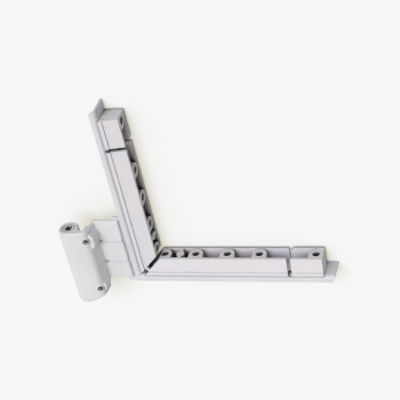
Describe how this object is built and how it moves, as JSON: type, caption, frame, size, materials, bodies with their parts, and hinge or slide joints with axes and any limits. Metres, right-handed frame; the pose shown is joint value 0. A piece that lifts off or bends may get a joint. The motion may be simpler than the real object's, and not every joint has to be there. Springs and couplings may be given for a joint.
{
  "type": "tilt and turn window hinge",
  "caption": "Sash-side corner hinge: L-shaped steel angle with a screw-boss packer, and a barrel body that slides sideways and lifts on a screw.",
  "frame": {"origin": "mouth of the pivot bore, on the turning axis at the barrel's lower end", "axes": "+Z to the room side, +X along the bottom arm away from the barrel, +Y along the upright arm and the turning axis"},
  "size_m": [0.1703, 0.1382, 0.0295],
  "materials": {
    "plated_steel": "satin silver coat",
    "grey_plastic": "fine matt",
    "silver_casting": "satin silver coat",
    "bush_plastic": "smooth",
    "screw_steel": "zinc plated"
  },
  "bodies": {
    "angle": {"corner_angle": "plated_steel", "corner_packer": "grey_plastic", "guide_rib_lower": "plated_steel", "guide_rib_upper": "plated_steel"},
    "hinge": {"hinge_body": "silver_casting", "pivot_bush": "bush_plastic", "clamp_screw_lower": "screw_steel", "clamp_screw_upper": "screw_steel"},
    "screw": {"height_screw": "screw_steel", "retaining_clip": "screw_steel"},
    "nut": {"lift_nut": "screw_steel", "thrust_button": "screw_steel"}
  },
  "joints": [
    {"name": "lateral_slide", "type": "slide", "parent": "angle", "child": "hinge", "axis": [1, 0, 0], "range_m": [-0.0015, 0.0015]},
    {"name": "height_screw_turn", "type": "hinge", "parent": "hinge", "child": "screw", "pos_m": [0, 0.05, 0], "axis": [0, 1, 0], "range_deg": [-1080, 1080]},
    {"name": "lift_nut_slide", "type": "slide", "parent": "hinge", "child": "nut", "axis": [0, 1, 0], "range_m": [-0.003, 0.003]}
  ],
  "couplings": [
    {"joint": "height_screw_turn", "follows": "lift_nut_slide", "rad_per_m": -6283.2}
  ]
}
